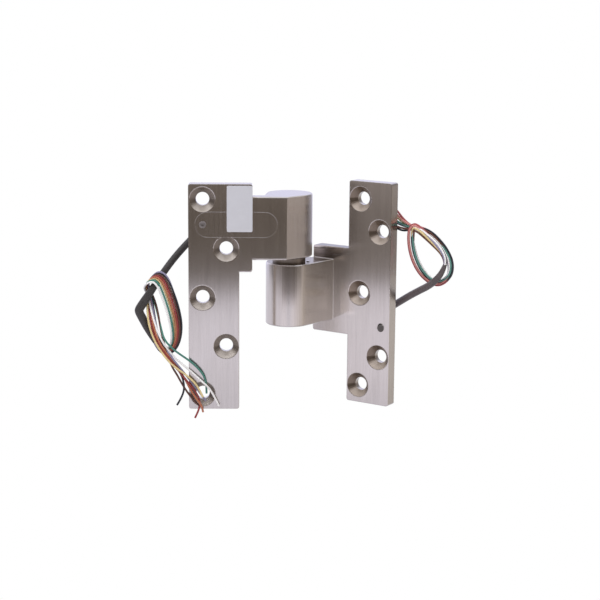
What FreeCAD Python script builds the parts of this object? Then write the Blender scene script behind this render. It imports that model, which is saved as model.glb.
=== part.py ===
"""Pivot hinge with wires through its pin, for a flush door in a wide frame.

Millimetres, +Z up along the pivot. The frame (jamb) leaf lies along +X with its countersunk
face towards -Y, and the origin is the middle screw hole on that leaf's back. Each leaf is drawn in
pivot coordinates: X from the pivot axis to the leaf's free edge, Y across it, Z from half
height. The door leaf's countersunk face looks along its +Y, the frame leaf's along its -Y,
so both face each other when the door is shut.
"""
import FreeCAD, Part

import math
import os

import Sketcher

App = FreeCAD
Vector = App.Vector

doc = App.newDocument("PivotHinge")

# Driving dimensions: name, value, what it is
DIMENSIONS = [
    ("plate_height", 117.5, "height of both leaves"),
    ("plate_thick", 6.35, "thickness of both leaves"),
    ("corner_radius", 1.2, "corner radius of the leaf outlines"),
    ("door_far", 51.7, "door leaf: pivot axis to free edge"),
    ("door_near", 25.7, "door leaf: pivot axis to the edge of the narrow part"),
    ("door_wide", 19.05, "door leaf: pivot axis to the edge of the wide part"),
    ("door_step", 13.5, "door leaf: bottom of the wide part above half height"),
    ("jamb_far", 49.7, "frame leaf: pivot axis to free edge"),
    ("jamb_near", 24.4, "frame leaf: pivot axis to the edge of the narrow part"),
    ("tee_near", 2.7, "frame leaf: pivot axis to the edge of the tee"),
    ("tee_height", 46.0, "frame leaf: height of the tee"),
    ("door_offset", 16.4, "pivot axis to the door leaf's front face"),
    ("face_gap", 3.2, "gap between the leaves' front faces when shut"),
    ("rest_angle", 34.5, "door leaf's turn from the straight open position"),
    ("barrel_radius", 12.0, "outer radius of both knuckles"),
    ("knuckle_height", 32.6, "height of each knuckle"),
    ("door_flat", 1.5, "door knuckle: pivot axis to the end of its flat front"),
    ("door_root", 13.3, "door knuckle: pivot axis to its root on the leaf's back"),
    ("jamb_root", 15.2, "frame knuckle: pivot axis to its root on the leaf's front"),
    ("knuckle_chamfer", 0.5, "edge break round the knuckle ends"),
    ("washer_thick", 3.3, "thickness of the thrust washer"),
    ("washer_radius", 8.6, "outer radius of the thrust washer"),
    ("end_play", 0.1, "axial play above the thrust washer"),
    ("running_gap", 0.05, "radial clearance of the turning fit"),
    ("fit_gap", 0.03, "clearance of the fixed fits"),
    ("pin_radius", 6.3, "outer radius of the hollow pivot pin"),
    ("pin_bore", 3.5, "radius of the wire way through the pin"),
    ("pin_above", 33.5, "top of the pin above half height"),
    ("pin_below", 7.5, "bottom of the pin below half height"),
    ("pin_chamfer", 0.8, "chamfer on the pin's ends"),
    ("bushing_radius", 8.4, "outer radius of the bushing in the door knuckle"),
    ("bushing_height", 13.5, "height of the bushing"),
    ("bore_top", 44.5, "top of the blind bore in the door knuckle"),
    ("plug_height", 1.6, "height of the plug under the frame knuckle"),
    ("stop_radius", 0.75, "radius of the small pin on the frame knuckle's top"),
    ("stop_height", 3.0, "length of the small pin"),
    ("stop_proud", 0.4, "how far the small pin stands proud"),
    ("stop_circle", 9.9, "pivot axis to the small pin"),
    ("stop_angle", 34.5, "direction of the small pin from the frame leaf"),
    ("screw_hole", 6.9, "diameter of the screw holes"),
    ("sink_width", 12.9, "diameter of the countersinks"),
    ("sink_angle", 82.0, "included angle of the countersinks"),
    ("door_outer_inset", 7.2, "door leaf: free edge to the three-hole column"),
    ("door_inner_inset", 19.3, "door leaf: free edge to the two-hole column"),
    ("door_end_margin", 7.95, "door leaf: end to the outermost screw holes"),
    ("jamb_inner_inset", 18.5, "frame leaf: free edge to the three-hole column"),
    ("jamb_outer_inset", 6.8, "frame leaf: free edge to the two-hole column"),
    ("jamb_end_margin", 9.25, "frame leaf: end to the outermost screw holes"),
    ("jamb_second_margin", 25.65, "frame leaf: end to the holes of two"),
    ("cover_thick", 1.6, "thickness of the wire covers"),
    ("groove_deep", 3.2, "depth of the wire grooves below their covers"),
    ("ledge", 1.6, "width of the ledge under each cover"),
    ("door_cover_rise", 37.9, "door cover: middle above half height"),
    ("door_cover_near", 6.3, "door cover: pivot axis to its near end"),
    ("door_cover_inset", 3.4, "door cover: leaf's free edge to its far end"),
    ("door_cover_width", 13.0, "door cover: height across"),
    ("door_groove_inset", 11.5, "door groove: leaf's free edge to its far end"),
    ("door_exit_inset", 15.7, "door leaf: free edge to the cable exit"),
    ("jamb_cover_drop", 15.0, "frame cover: middle below half height"),
    ("jamb_cover_near", 4.4, "frame cover: pivot axis to its near end"),
    ("jamb_cover_inset", 2.0, "frame cover: leaf's free edge to its far end"),
    ("jamb_cover_width", 10.6, "frame cover: height across"),
    ("jamb_groove_inset", 9.7, "frame groove: leaf's free edge to its far end"),
    ("jamb_exit_inset", 15.7, "frame leaf: free edge to the cable exit"),
    ("door_screw_inset", 7.3, "door cover screw: distance from the leaf's free edge"),
    ("jamb_screw_inset", 5.2, "frame cover screw: distance from the leaf's free edge"),
    ("jamb_screw_drop", 16.6, "frame cover screw: depth below half height"),
    ("wire_way", 1.7, "radius of the drilled ways between bore and grooves"),
    ("way_inset", 3.5, "end of a groove to the mouth of its drilled way"),
    ("chamber_way", 13.2, "frame knuckle: drilled way's depth below half height"),
    ("cover_screw_head", 1.75, "head radius of the cover screws"),
    ("cover_screw_shank", 1.2, "shank radius of the cover screws"),
    ("cover_screw_length", 4.4, "length of the cover screws"),
    ("cover_screw_socket", 0.8, "half width across flats of their hex sockets"),
    ("sleeve_width", 3.7, "diameter of the black sleeves"),
    ("wire_width", 1.2, "diameter of one insulated wire"),
    ("hank_width", 4.2, "diameter of a wound bundle of wires"),
    ("core_width", 2.6, "diameter of the wire bundle inside the leaves"),
    ("core_bend", 1.1, "second bend of the wire bundle in the leaves, in its own diameters"),
    ("core_meet", 22.9, "height where the two leaves' wire bundles meet in the pin"),
    ("core_apart", 1.0, "gap between the two bundles there"),
    ("core_end", 0.5, "gap between a bundle and the sleeve that it goes into"),
    ("socket_depth", 1.1, "depth of the cover screws' hex sockets"),
    ("grommet_rim", 1.4, "how far a grommet's flange reaches past its sleeve"),
    ("grommet_wall", 0.9, "wall of a grommet where it passes the leaf"),
    ("grommet_flange", 0.9, "thickness of a grommet's flange"),
]

sheet = doc.addObject("Spreadsheet::Sheet", "Dimensions")
for row, (alias, number, meaning) in enumerate(DIMENSIONS, start=1):
    sheet.set(f"A{row}", alias)
    sheet.set(f"B{row}", str(number))
    sheet.set(f"C{row}", meaning)
    sheet.setAlias(f"B{row}", alias)
doc.recompute()


class Size:
    """A number with the expression over the spreadsheet that gives it."""

    def __init__(self, value, text):
        self.value = float(value)
        self.text = text

    def _with(self, other, sign, value):
        text = other.text if isinstance(other, Size) else repr(float(other))
        return Size(value, f"({self.text} {sign} {text})")

    def __add__(self, other):
        return self._with(other, "+", self.value + number_of(other))

    def __sub__(self, other):
        return self._with(other, "-", self.value - number_of(other))

    def __mul__(self, other):
        return self._with(other, "*", self.value * number_of(other))

    def __truediv__(self, other):
        return self._with(other, "/", self.value / number_of(other))

    def __neg__(self):
        return Size(-self.value, f"(0 - {self.text})")


def number_of(size):
    return size.value if isinstance(size, Size) else float(size)


def named(alias):
    """The spreadsheet's size of that name."""
    return Size(sheet.get(alias), f"Dimensions.{alias}")


def fixed(number):
    return Size(number, repr(float(number)))


def turned(radius, degrees, function, word):
    value = radius.value * function(math.radians(degrees.value))
    return Size(value, f"({radius.text} * {word}({degrees.text} * 1 deg))")


def cosine(radius, degrees):
    return turned(radius, degrees, math.cos, "cos")


def sine(radius, degrees):
    return turned(radius, degrees, math.sin, "sin")


# Places worked out from the driving dimensions
zero = fixed(0)
half_height = named("plate_height") / 2
thick = named("plate_thick")
door_front = named("door_offset")
door_back = door_front - thick
jamb_front = named("door_offset") + named("face_gap")
jamb_back = jamb_front + thick
jamb_knuckle_top = named("knuckle_height") / 2
jamb_knuckle_bottom = -jamb_knuckle_top
door_knuckle_bottom = jamb_knuckle_top + named("washer_thick") + named("end_play")
barrel = named("barrel_radius")
pin_hole = named("pin_radius") + named("fit_gap")
socket_radius = named("bushing_radius") + named("fit_gap")
sleeve_radius = named("sleeve_width") / 2
exit_radius = sleeve_radius + named("fit_gap") + named("grommet_wall")
door_groove_middle = door_front - named("cover_thick") - named("groove_deep") / 2
jamb_groove_middle = jamb_back - named("cover_thick") - named("groove_deep") / 2
door_far = named("door_far")
door_outer_column = door_far - named("door_outer_inset")
door_inner_column = door_far - named("door_inner_inset")
door_outer_rise = half_height - named("door_end_margin")
door_cover_far = door_far - named("door_cover_inset")
door_groove_far = door_far - named("door_groove_inset")
door_exit = door_far - named("door_exit_inset")
door_screw_at = door_far - named("door_screw_inset")
jamb_far = named("jamb_far")
jamb_inner_column = jamb_far - named("jamb_inner_inset")
jamb_outer_column = jamb_far - named("jamb_outer_inset")
jamb_outer_rise = half_height - named("jamb_end_margin")
jamb_second_rise = half_height - named("jamb_second_margin")
jamb_cover_far = jamb_far - named("jamb_cover_inset")
jamb_groove_far = jamb_far - named("jamb_groove_inset")
jamb_exit = jamb_far - named("jamb_exit_inset")
jamb_screw_at = jamb_far - named("jamb_screw_inset")
nodes = []


def node(label, item, side):
    """Gives a finished piece its name and puts it on its leaf."""
    item.Label = label
    turn = named("rest_angle") + 180 if side == "door" else zero
    item.Placement = App.Placement(Vector(1, 1, 0), App.Rotation(Vector(0, 0, 1), 1))
    item.setExpression("Placement.Base.x", (-jamb_inner_column).text)
    item.setExpression("Placement.Base.y", (-jamb_back).text)
    item.setExpression("Placement.Rotation.Angle", turn.text)
    nodes.append(item)
    return item


def new_body(name):
    return doc.addObject("PartDesign::Body", name)


def plane_of(body, role):
    return [item for item in body.Origin.OriginFeatures if item.Role == role][0]


def sketch_on(body, name, role, height):
    """A sketch on one of the body's own planes, raised along that plane's normal."""
    sketch = body.newObject("Sketcher::SketchObject", name)
    sketch.AttachmentSupport = [(plane_of(body, role), "")]
    sketch.MapMode = "FlatFace"
    sketch.setExpression("AttachmentOffset.Base.z", height.text)
    return sketch


def constrain(sketch, kind, *places, size=None):
    """Adds a constraint, bound to its size where it has one."""
    if size is None:
        return sketch.addConstraint(Sketcher.Constraint(kind, *places))
    index = sketch.addConstraint(Sketcher.Constraint(kind, *places, size.value))
    sketch.setExpression(f"Constraints[{index}]", size.text)
    return index


def pin_point(sketch, geometry, end, x, y):
    """Holds a point of the sketch at a distance from the sketch's own origin."""
    for kind, size, axis in (("DistanceX", x, -2), ("DistanceY", y, -1)):
        if size.text == zero.text:
            sketch.addConstraint(Sketcher.Constraint("PointOnObject", geometry, end, axis))
        else:
            constrain(sketch, kind, -1, 1, geometry, end, size=size)


def outline(sketch, corners):
    """A closed polygon with every corner held by its own sizes."""
    spots = [Vector(x.value, y.value, 0) for x, y in corners]
    first = sketch.GeometryCount
    count = len(spots)
    for i in range(count):
        sketch.addGeometry(Part.LineSegment(spots[i], spots[(i + 1) % count]), False)
    for i in range(count):
        sketch.addConstraint(Sketcher.Constraint("Coincident", first + i, 2, first + (i + 1) % count, 1))
    for i, (x, y) in enumerate(corners):
        pin_point(sketch, first + i, 1, x, y)


def circle(sketch, x, y, radius):
    index = sketch.addGeometry(Part.Circle(Vector(x.value, y.value, 0), Vector(0, 0, 1), radius.value), False)
    pin_point(sketch, index, 3, x, y)
    constrain(sketch, "Radius", index, size=radius)


def stadium(sketch, near, far, y, width):
    """A slot outline with round ends, from near to far along the sketch's X."""
    radius = width.value / 2
    left, right = near.value + radius, far.value - radius
    middle = y.value
    up = Vector(0, 0, 1)
    top_line = Part.LineSegment(Vector(left, middle + radius, 0), Vector(right, middle + radius, 0))
    top = sketch.addGeometry(top_line, False)
    start = sketch.addGeometry(
        Part.ArcOfCircle(Part.Circle(Vector(left, middle, 0), up, radius), math.pi / 2, 3 * math.pi / 2), False
    )
    bottom = sketch.addGeometry(
        Part.LineSegment(Vector(left, middle - radius, 0), Vector(right, middle - radius, 0)), False
    )
    end = sketch.addGeometry(
        Part.ArcOfCircle(Part.Circle(Vector(right, middle, 0), up, radius), -math.pi / 2, math.pi / 2), False
    )
    constrain(sketch, "Tangent", top, 1, start, 1)
    constrain(sketch, "Tangent", start, 2, bottom, 1)
    constrain(sketch, "Tangent", bottom, 2, end, 1)
    constrain(sketch, "Tangent", end, 2, top, 2)
    pin_point(sketch, start, 3, near + width / 2, y)
    constrain(sketch, "DistanceX", -1, 1, end, 3, size=far - width / 2)
    constrain(sketch, "Radius", start, size=width / 2)
    constrain(sketch, "Horizontal", top)


def pad(body, name, sketch, length, backwards=False):
    feature = body.newObject("PartDesign::Pad", name)
    feature.Profile = sketch
    feature.setExpression("Length", length.text)
    feature.Reversed = backwards
    return feature


def pocket(body, name, sketch, length, backwards=False):
    """Cuts the sketch's shape out of the body and makes sure that it did."""
    before = volume_now(body)
    feature = body.newObject("PartDesign::Pocket", name)
    feature.Profile = sketch
    feature.setExpression("Length", length.text)
    feature.Reversed = backwards
    if volume_now(body) > before - 0.5:
        raise RuntimeError(f"{name} cuts nothing")
    return feature


def volume_now(body):
    doc.recompute()
    return body.Shape.Volume


def revolved(name, profile):
    """A turned piece: the profile is radius and height pairs, spun about Z."""
    body = new_body(name)
    sketch = sketch_on(body, f"{name}_profile", "XZ_Plane", zero)
    outline(sketch, profile)
    feature = body.newObject("PartDesign::Revolution", f"{name}_turn")
    feature.Profile = sketch
    feature.ReferenceAxis = (sketch, ["V_Axis"])
    feature.Angle = 360
    return body


def drill(body, name, x, y, z, radius, length, heading):
    """A level drilled way that starts on a point and runs along a heading."""
    before = volume_now(body)
    feature = body.newObject("PartDesign::SubtractiveCylinder", name)
    feature.AttachmentSupport = [(plane_of(body, "XY_Plane"), "")]
    feature.MapMode = "FlatFace"
    seam_turn = 37
    level = App.Rotation(Vector(0, 1, 0), 90) * App.Rotation(Vector(0, 0, 1), seam_turn)
    spin = App.Rotation(Vector(0, 0, 1), heading.value) * level
    feature.AttachmentOffset = App.Placement(Vector(0, 0, 0), spin)
    for axis, size in (("x", x), ("y", y), ("z", z)):
        feature.setExpression(f"AttachmentOffset.Base.{axis}", size.text)
    feature.setExpression("Radius", radius.text)
    feature.setExpression("Height", length.text)
    if volume_now(body) > before - 0.5:
        raise RuntimeError(f"{name} cuts nothing")


def tangent_spot(x, y, radius, side):
    """Where the tangent from a point touches the barrel's circle."""
    away = math.hypot(x, y)
    angle = math.atan2(y, x) + side * math.acos(radius / away)
    return Vector(radius * math.cos(angle), radius * math.sin(angle), 0)


def knuckle_section(sketch, root, tips):
    """The barrel's circle joined by tangents to its root on the leaf.

    root is the two corners that lie inside the leaf, tips the two points from which the
    tangents leave, in order round the section."""
    (near, far), (first, last) = root, tips
    spots = [Vector(x.value, y.value, 0) for x, y in (near, first)]
    ends = [Vector(x.value, y.value, 0) for x, y in (last, far)]
    clockwise = 1 if first[1].value > last[1].value or first[0].value < last[0].value else -1
    touch_first = tangent_spot(first[0].value, first[1].value, barrel.value, clockwise)
    touch_last = tangent_spot(last[0].value, last[1].value, barrel.value, -clockwise)
    lines = [
        (ends[1], spots[0]),
        (spots[0], spots[1]),
        (spots[1], touch_first),
        (touch_last, ends[0]),
        (ends[0], ends[1]),
    ]
    for start, end in lines:
        sketch.addGeometry(Part.LineSegment(start, end), False)
    span = [math.atan2(spot.y, spot.x) for spot in (touch_first, touch_last)]
    while span[1] < span[0]:
        span[1] += 2 * math.pi
    arc = sketch.addGeometry(
        Part.ArcOfCircle(Part.Circle(Vector(0, 0, 0), Vector(0, 0, 1), barrel.value), span[0], span[1]), False
    )
    constrain(sketch, "Coincident", arc, 3, -1, 1)
    constrain(sketch, "Radius", arc, size=barrel)
    constrain(sketch, "Coincident", 0, 2, 1, 1)
    constrain(sketch, "Coincident", 1, 2, 2, 1)
    constrain(sketch, "Tangent", 2, 2, arc, 1)
    constrain(sketch, "Tangent", 3, 1, arc, 2)
    constrain(sketch, "Coincident", 3, 2, 4, 1)
    constrain(sketch, "Coincident", 4, 2, 0, 1)
    pin_point(sketch, 1, 1, *near)
    pin_point(sketch, 1, 2, *first)
    pin_point(sketch, 3, 2, *last)
    pin_point(sketch, 0, 1, *far)


def edges_where(shape, test):
    """Names of the edges whose middle point and direction pass a test."""
    found = []
    for number, edge in enumerate(shape.Edges, start=1):
        ends = [vertex.Point for vertex in edge.Vertexes]
        if len(ends) == 2 and test(edge, ends):
            found.append(f"Edge{number}")
    return found


def countersunk_holes(body, name, front, places, backwards):
    """Countersunk screw holes from the front face, at the given places on it."""
    before = volume_now(body)
    sketch = sketch_on(body, f"{name}_places", "XZ_Plane", -front)
    for x, z in places:
        circle(sketch, x, z, named("screw_hole") / 2)
    doc.recompute()
    feature = body.newObject("PartDesign::Hole", name)
    feature.Profile = sketch
    feature.Threaded = False
    feature.DepthType = "ThroughAll"
    feature.Reversed = backwards
    feature.setExpression("Diameter", named("screw_hole").text)
    feature.HoleCutType = "Countersink"
    feature.HoleCutCustomValues = True
    feature.setExpression("HoleCutDiameter", named("sink_width").text)
    feature.setExpression("HoleCutCountersinkAngle", named("sink_angle").text)
    if volume_now(body) > before - 0.5:
        raise RuntimeError(f"{name} cuts nothing")


def round_corners(body, name, corners):
    """Rounds the leaf outline's corners that lie at the given points, through its thickness."""
    doc.recompute()
    spots = [(x.value, z.value) for x, z in corners]

    def at_corner(edge, ends):
        level = abs(ends[0].x - ends[1].x) < 1e-6 and abs(ends[0].z - ends[1].z) < 1e-6
        near = [abs(ends[0].x - x) < 1e-6 and abs(ends[0].z - z) < 1e-6 for x, z in spots]
        return level and any(near)

    plain = body.Tip
    feature = body.newObject("PartDesign::Fillet", name)
    feature.Base = (plain, edges_where(plain.Shape, at_corner))
    feature.setExpression("Radius", named("corner_radius").text)
    doc.recompute()


# Frame leaf: a plate with a tee, the lower knuckle, its bore, screw holes and wire groove
def make_jamb_leaf():
    body = new_body("JambLeaf")
    plate = sketch_on(body, "jamb_outline", "XZ_Plane", -jamb_front)
    tee_half = named("tee_height") / 2
    far, near, tee = jamb_far, named("jamb_near"), named("tee_near")
    outline(
        plate,
        [
            (far, -half_height), (far, half_height), (near, half_height), (near, tee_half),
            (tee, tee_half), (tee, -tee_half), (near, -tee_half), (near, -half_height),
        ],
    )
    pad(body, "jamb_plate", plate, thick, backwards=True)
    round_corners(
        body,
        "jamb_corners",
        [(far, -half_height), (far, half_height), (near, half_height), (tee, tee_half), (tee, -tee_half),
         (near, -half_height)],
    )
    section = sketch_on(body, "jamb_knuckle_section", "XY_Plane", jamb_knuckle_bottom)
    inside = jamb_front + thick / 2
    knuckle_section(
        section,
        ((tee, inside), (named("jamb_root"), inside)),
        ((tee, jamb_front), (named("jamb_root"), jamb_front)),
    )
    pad(body, "jamb_knuckle", section, named("knuckle_height"))
    break_knuckle_edges(body, "jamb_knuckle_edges", (jamb_knuckle_top, jamb_knuckle_bottom), jamb_front - 1)
    bore = sketch_on(body, "jamb_bore_circle", "XY_Plane", jamb_knuckle_top)
    circle(bore, zero, zero, pin_hole)
    pocket(body, "jamb_bore", bore, named("knuckle_height"))
    stop = sketch_on(body, "stop_hole_circle", "XY_Plane", jamb_knuckle_top)
    circle(
        stop,
        cosine(named("stop_circle"), named("stop_angle")),
        sine(named("stop_circle"), named("stop_angle")),
        named("stop_radius") + named("fit_gap"),
    )
    pocket(body, "stop_hole", stop, named("stop_height") - named("stop_proud"))
    rise, second = jamb_outer_rise, jamb_second_rise
    column, outer = jamb_inner_column, jamb_outer_column
    countersunk_holes(
        body,
        "jamb_screw_holes",
        jamb_front,
        [(column, zero), (column, rise), (column, -rise), (outer, second), (outer, -second)],
        backwards=False,
    )
    middle = -named("jamb_cover_drop")
    seat = sketch_on(body, "jamb_cover_seat", "XZ_Plane", -jamb_back)
    stadium(seat, named("jamb_cover_near"), jamb_cover_far, middle, named("jamb_cover_width"))
    pocket(body, "jamb_seat", seat, named("cover_thick"), backwards=True)
    groove = sketch_on(body, "jamb_groove_outline", "XZ_Plane", -(jamb_back - named("cover_thick")))
    stadium(
        groove,
        named("jamb_cover_near") + named("ledge"),
        jamb_groove_far,
        middle,
        named("jamb_cover_width") - named("ledge") * 2,
    )
    pocket(body, "jamb_groove", groove, named("groove_deep"), backwards=True)
    reach_x = named("jamb_cover_near") + named("ledge") + named("way_inset")
    heading = Size(
        math.degrees(math.atan2(jamb_groove_middle.value, reach_x.value)),
        f"(atan({jamb_groove_middle.text} / {reach_x.text}) / 1 deg)",
    )
    run = Size(
        math.hypot(jamb_groove_middle.value, reach_x.value),
        f"sqrt({jamb_groove_middle.text} ^ 2 + {reach_x.text} ^ 2)",
    )
    drill(body, "jamb_wire_way", zero, zero, -named("chamber_way"), named("wire_way"), run, heading)
    screw = sketch_on(body, "jamb_cover_screw_hole", "XZ_Plane", -jamb_front)
    circle(screw, jamb_screw_at, -named("jamb_screw_drop"), named("cover_screw_shank") + named("fit_gap"))
    pocket(body, "jamb_screw_way", screw, thick)
    head = sketch_on(body, "jamb_screw_head_hole", "XZ_Plane", -jamb_front)
    circle(head, jamb_screw_at, -named("jamb_screw_drop"), named("cover_screw_head") + named("fit_gap"))
    pocket(body, "jamb_screw_seat", head, named("cover_thick"))
    return node("jamb_leaf", body, "jamb")


def break_knuckle_edges(body, name, levels, leaf_face):
    """A small chamfer on the outer edges of a knuckle's two ends, where they stand clear of the leaf."""
    doc.recompute()
    heights = [level.value for level in levels]

    def at_end(edge, ends):
        level = any(abs(end.z - height) < 1e-6 for end in ends for height in heights)
        flat = abs(ends[0].z - ends[1].z) < 1e-6
        middle = edge.valueAt((edge.FirstParameter + edge.LastParameter) / 2)
        clear = middle.y < leaf_face.value + 0.01 and edge.Length > thick.value * 1.1
        return level and flat and clear

    plain = body.Tip
    feature = body.newObject("PartDesign::Chamfer", name)
    feature.Base = (plain, edges_where(plain.Shape, at_end))
    feature.setExpression("Size", named("knuckle_chamfer").text)
    doc.recompute()


# Door leaf: a plate with a wide top, the upper knuckle, its blind bore, holes and wire groove
def make_door_leaf():
    body = new_body("DoorLeaf")
    plate = sketch_on(body, "door_outline", "XZ_Plane", -door_front)
    far, near, wide, step = door_far, named("door_near"), named("door_wide"), named("door_step")
    outline(
        plate,
        [
            (far, -half_height), (far, half_height), (wide, half_height), (wide, step),
            (near, step), (near, -half_height),
        ],
    )
    pad(body, "door_plate", plate, thick)
    round_corners(
        body,
        "door_corners",
        [(far, -half_height), (far, half_height), (wide, half_height), (wide, step), (near, -half_height)],
    )
    section = sketch_on(body, "door_knuckle_section", "XY_Plane", door_knuckle_bottom)
    inside = wide + thick / 4
    knuckle_section(
        section,
        ((inside, door_front), (inside, door_back)),
        ((named("door_flat"), door_front), (named("door_root"), door_back)),
    )
    pad(body, "door_knuckle", section, named("knuckle_height"))
    top = door_knuckle_bottom + named("knuckle_height")
    break_knuckle_edges(body, "door_knuckle_edges", (door_knuckle_bottom, top), door_front)
    bore = sketch_on(body, "door_bore_circle", "XY_Plane", door_knuckle_bottom)
    circle(bore, zero, zero, socket_radius)
    pocket(body, "door_bore", bore, named("bore_top") - door_knuckle_bottom, backwards=True)
    outer, inner, rise = door_outer_column, door_inner_column, door_outer_rise
    countersunk_holes(
        body,
        "door_screw_holes",
        door_front,
        [(outer, zero), (outer, rise), (outer, -rise), (inner, rise / 2), (inner, -rise / 2)],
        backwards=True,
    )
    middle = named("door_cover_rise")
    seat = sketch_on(body, "door_cover_seat", "XZ_Plane", -door_front)
    stadium(seat, named("door_cover_near"), door_cover_far, middle, named("door_cover_width"))
    pocket(body, "door_seat", seat, named("cover_thick"), backwards=True)
    groove = sketch_on(body, "door_groove_outline", "XZ_Plane", -(door_front - named("cover_thick")))
    stadium(
        groove,
        named("door_cover_near") + named("ledge"),
        door_groove_far,
        middle,
        named("door_cover_width") - named("ledge") * 2,
    )
    pocket(body, "door_groove", groove, named("groove_deep"), backwards=True)
    reach_x = named("door_cover_near") + named("ledge") + named("way_inset")
    heading = Size(
        math.degrees(math.atan2(door_groove_middle.value, reach_x.value)),
        f"(atan({door_groove_middle.text} / {reach_x.text}) / 1 deg)",
    )
    run = Size(
        math.hypot(door_groove_middle.value, reach_x.value),
        f"sqrt({door_groove_middle.text} ^ 2 + {reach_x.text} ^ 2)",
    )
    drill(body, "door_wire_way", zero, zero, middle, named("wire_way"), run, heading)
    leave = sketch_on(body, "door_exit_circle", "XZ_Plane", -door_front)
    circle(leave, door_exit, middle, exit_radius)
    pocket(body, "door_exit_hole", leave, thick, backwards=True)
    screw = sketch_on(body, "door_cover_screw_hole", "XZ_Plane", -door_front)
    circle(screw, door_screw_at, middle, named("cover_screw_shank") + named("fit_gap"))
    pocket(body, "door_screw_way", screw, named("cover_screw_length") + named("fit_gap"), backwards=True)
    return node("door_leaf", body, "door")


def make_cover(label, side, near, far, middle, width, top, screw_at, screw_rise, exit_at):
    """A flush cover over a wire groove, with a screw hole and, on the frame side, a cable exit."""
    gap = named("fit_gap")
    body = new_body(label.title().replace("_", ""))
    face = sketch_on(body, f"{label}_outline", "XZ_Plane", -top)
    stadium(face, near + gap, far - gap, middle, width - gap * 2)
    pad(body, f"{label}_plate", face, named("cover_thick"))
    hole = sketch_on(body, f"{label}_screw_hole", "XZ_Plane", -top)
    screw_radius = named("cover_screw_head" if side == "door" else "cover_screw_shank")
    circle(hole, screw_at, screw_rise, screw_radius + gap)
    pocket(body, f"{label}_screw_way", hole, named("cover_thick"), backwards=True)
    if exit_at is not None:
        leave = sketch_on(body, f"{label}_exit_circle", "XZ_Plane", -top)
        circle(leave, exit_at, middle, exit_radius)
        pocket(body, f"{label}_exit_hole", leave, named("cover_thick"), backwards=True)
    return node(label, body, side)


def make_cover_screw(label, side, x, z, front, length):
    """A small flush screw with a round head and a hex socket, its head at the front face."""
    head, shank = named("cover_screw_head"), named("cover_screw_shank")
    name = label.title().replace("_", "")
    body = new_body(name)
    rod = sketch_on(body, f"{name}_shank", "XZ_Plane", -front)
    circle(rod, x, z, shank)
    away = side == "jamb"
    pad(body, f"{name}_rod", rod, length, backwards=away)
    top = sketch_on(body, f"{name}_head", "XZ_Plane", -front)
    circle(top, x, z, head)
    pad(body, f"{name}_cap", top, named("cover_thick"), backwards=away)
    socket = sketch_on(body, f"{name}_socket", "XZ_Plane", -front)
    half = named("cover_screw_socket")
    corner = half * (2 / math.sqrt(3))
    outline(
        socket,
        [
            (x + corner, z), (x + corner / 2, z + half), (x - corner / 2, z + half),
            (x - corner, z), (x - corner / 2, z - half), (x + corner / 2, z - half),
        ],
    )
    pocket(body, f"{name}_hex", socket, named("socket_depth"), backwards=not away)
    return node(label, body, side)


def make_grommet(label, side, x, z, face):
    """A flanged rubber ring round the sleeve where it leaves the leaf's back."""
    name = label.title().replace("_", "")
    body = new_body(name)
    outward = side == "jamb"
    inner = sleeve_radius + named("fit_gap")
    outer = exit_radius - named("fit_gap")
    deep = thick - named("cover_thick") - named("groove_deep") if side == "door" else named("cover_thick")
    barrel_part = sketch_on(body, f"{name}_neck", "XZ_Plane", -face)
    circle(barrel_part, x, z, outer)
    circle(barrel_part, x, z, inner)
    pad(body, f"{name}_neck_pad", barrel_part, deep, backwards=not outward)
    flange = sketch_on(body, f"{name}_flange", "XZ_Plane", -face)
    circle(flange, x, z, exit_radius + named("grommet_rim"))
    circle(flange, x, z, inner)
    pad(body, f"{name}_flange_pad", flange, named("grommet_flange"), backwards=outward)
    return node(label, body, side)


def make_turned_pieces():
    gap = named("fit_gap")
    radius, bore, cut = named("pin_radius"), named("pin_bore"), named("pin_chamfer")
    top, low = named("pin_above"), -named("pin_below")
    pin = revolved(
        "PivotPin",
        [
            (bore, low), (radius - cut, low), (radius, low + cut), (radius, top - cut),
            (radius - cut, top), (bore, top),
        ],
    )
    node("pivot_pin", pin, "jamb")
    lowest = door_knuckle_bottom + gap
    inner = radius + named("running_gap")
    outer = named("bushing_radius")
    upper = lowest + named("bushing_height")
    bushing = revolved("UpperBushing", [(inner, lowest), (outer, lowest), (outer, upper), (inner, upper)])
    node("upper_bushing", bushing, "door")
    edge, base = named("washer_radius"), jamb_knuckle_top
    cap = base + named("washer_thick")
    hole = radius + gap
    washer = revolved("ThrustWasher", [(hole, base), (edge, base), (edge, cap), (hole, cap)])
    node("thrust_washer", washer, "jamb")
    foot = jamb_knuckle_bottom
    plug_top = foot + named("plug_height")
    slot_bottom = foot + named("plug_height") / 3
    plug = revolved(
        "BorePlug",
        [(zero, slot_bottom), (bore - cut, slot_bottom), (bore, foot), (radius, foot), (radius, plug_top),
         (zero, plug_top)],
    )
    node("bore_plug", plug, "jamb")


def make_stop_pin():
    body = new_body("StopPin")
    face = sketch_on(body, "stop_circle_sketch", "XY_Plane", jamb_knuckle_top + named("stop_proud"))
    circle(
        face,
        cosine(named("stop_circle"), named("stop_angle")),
        sine(named("stop_circle"), named("stop_angle")),
        named("stop_radius"),
    )
    pad(body, "stop_rod", face, named("stop_height"), backwards=True)
    return node("locating_pin", body, "jamb")


def bend_radii(points):
    """The largest even bend at each inner point: 0.45 of its shorter run over tan of half the turn."""
    radii = []
    for before, here, after in zip(points, points[1:], points[2:]):
        turn = (here - before).getAngle(after - here)
        shorter = min((here - before).Length, (after - here).Length)
        radii.append(0.45 * shorter / math.tan(turn / 2))
    return radii


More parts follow.
